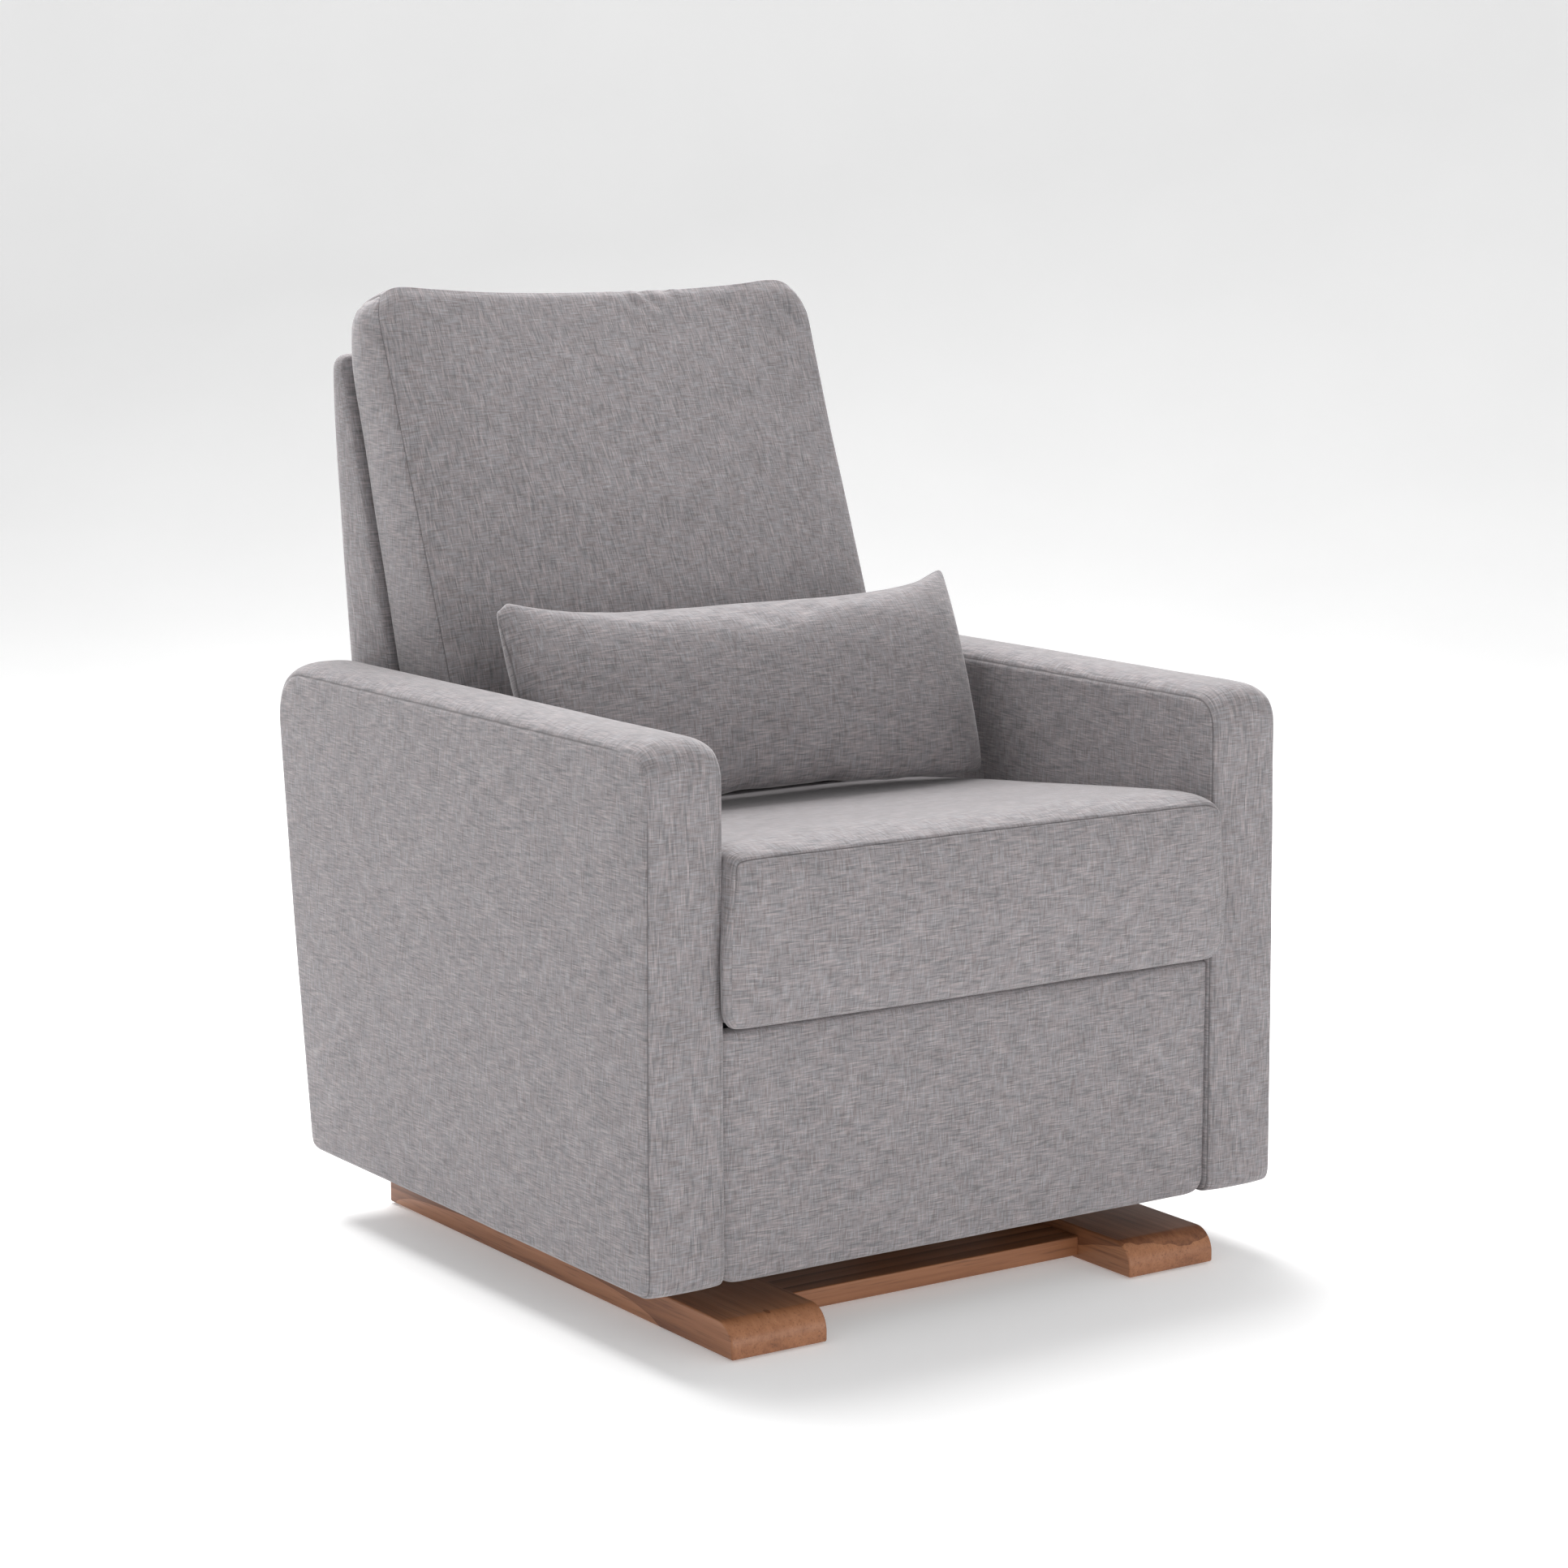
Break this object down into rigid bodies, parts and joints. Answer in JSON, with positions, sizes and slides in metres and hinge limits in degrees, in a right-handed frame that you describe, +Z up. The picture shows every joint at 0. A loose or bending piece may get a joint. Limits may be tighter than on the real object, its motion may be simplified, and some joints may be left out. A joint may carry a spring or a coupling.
{
  "type": "glider nursery chair",
  "caption": "Upholstered glider recliner with slab arms, boxed seat, swing-out footrest, reclining back, lumbar pillow and a wood runner base.",
  "frame": {"origin": "on the floor, below the middle of the chair's box", "axes": "-Y is the front, +X is to the right for someone facing the chair's front, +Z is up"},
  "size_m": [0.75, 0.799, 0.983],
  "materials": {
    "walnut": "satin walnut stain",
    "felt": "felt",
    "inner_wood": "raw plywood and hardwood",
    "fabric_cushion": "heathered grey linen-look weave",
    "fabric_body": "heathered grey linen-look weave",
    "deck_cloth": "black deck cloth and webbing",
    "black_steel": "black powder coat",
    "zinc": "zinc plated"
  },
  "bodies": {
    "base": {"left_runner": "walnut", "right_runner": "walnut", "front_stretcher": "walnut", "rear_stretcher": "walnut", "floor_pads": "felt", "front_left_stand": "black_steel", "front_right_stand": "black_steel", "rear_left_stand": "black_steel", "rear_right_stand": "black_steel", "stand_screws": "zinc", "upper_glide_pins": "zinc"},
    "front_links": {"front_left_link": "black_steel", "front_right_link": "black_steel"},
    "rear_links": {"rear_left_link": "black_steel", "rear_right_link": "black_steel"},
    "carriage": {"front_left_hanger": "black_steel", "front_right_hanger": "black_steel", "rear_left_hanger": "black_steel", "rear_right_hanger": "black_steel", "lower_glide_pins": "zinc", "front_cross_tube": "black_steel", "rear_cross_tube": "black_steel", "left_seat_rail": "inner_wood", "right_seat_rail": "inner_wood", "front_seat_rail": "inner_wood", "rear_seat_rail": "inner_wood", "seat_springs": "zinc", "spring_clips": "zinc", "seat_deck": "deck_cloth", "seat_cushion": "fabric_cushion", "left_arm_board": "inner_wood", "right_arm_board": "inner_wood", "left_arm_cover": "fabric_body", "right_arm_cover": "fabric_body", "arm_bolts": "zinc", "rear_panel": "fabric_body", "left_foot_rail": "black_steel", "right_foot_rail": "black_steel", "foot_rail_pins": "zinc", "back_hinge_plates": "black_steel", "back_hinge_pins": "zinc"},
    "foot_rear_links": {"left_foot_rear_link": "black_steel", "right_foot_rear_link": "black_steel", "foot_torque_tube": "black_steel", "foot_link_pins": "zinc"},
    "foot_front_links": {"left_foot_front_link": "black_steel", "right_foot_front_link": "black_steel"},
    "footrest": {"footrest_board": "inner_wood", "footrest_pad": "fabric_body", "left_foot_bracket": "black_steel", "right_foot_bracket": "black_steel", "foot_bracket_pins": "zinc"},
    "back": {"left_back_stile": "inner_wood", "right_back_stile": "inner_wood", "top_back_rail": "inner_wood", "low_back_rail": "inner_wood", "back_webbing": "deck_cloth", "back_cover": "fabric_body", "back_cushion": "fabric_cushion"},
    "pillow": {"lumbar_pillow": "fabric_cushion"}
  },
  "joints": [
    {"name": "glide", "type": "hinge", "parent": "base", "child": "front_links", "pos_m": [0, -0.13, 0.235], "axis": [-1, 0, 0], "range_deg": [-25, 25]},
    {"name": "seat_level", "type": "hinge", "parent": "front_links", "child": "carriage", "pos_m": [0, -0.13, 0.095], "axis": [-1, 0, 0], "range_deg": [-25, 25]},
    {"name": "rear_swing", "type": "hinge", "parent": "base", "child": "rear_links", "pos_m": [0, 0.13, 0.235], "axis": [-1, 0, 0], "range_deg": [-25, 25]},
    {"name": "footrest_open", "type": "hinge", "parent": "carriage", "child": "foot_rear_links", "pos_m": [0, -0.225, 0.265], "axis": [-1, 0, 0], "range_deg": [0, 98]},
    {"name": "footrest_knee", "type": "hinge", "parent": "foot_rear_links", "child": "foot_front_links", "pos_m": [0, -0.19722, 0.10743], "axis": [-1, 0, 0], "range_deg": [-128, 0]},
    {"name": "footrest_tilt", "type": "hinge", "parent": "foot_front_links", "child": "footrest", "pos_m": [0, -0.30006, 0.23], "axis": [-1, 0, 0], "range_deg": [0, 120]},
    {"name": "back_recline", "type": "hinge", "parent": "carriage", "child": "back", "pos_m": [0, 0.322, 0.326], "axis": [-1, 0, 0], "range_deg": [0, 25]},
    {"name": "pillow_lift", "type": "slide", "parent": "back", "child": "pillow", "axis": [0, 0, 1], "range_m": [0, 0.35]}
  ],
  "couplings": [
    {"joint": "seat_level", "follows": "glide", "ratio": -1},
    {"joint": "rear_swing", "follows": "glide", "ratio": 1},
    {"joint": "footrest_knee", "follows": "footrest_open", "ratio": -1.3061},
    {"joint": "footrest_tilt", "follows": "footrest_open", "ratio": 1.2245}
  ]
}
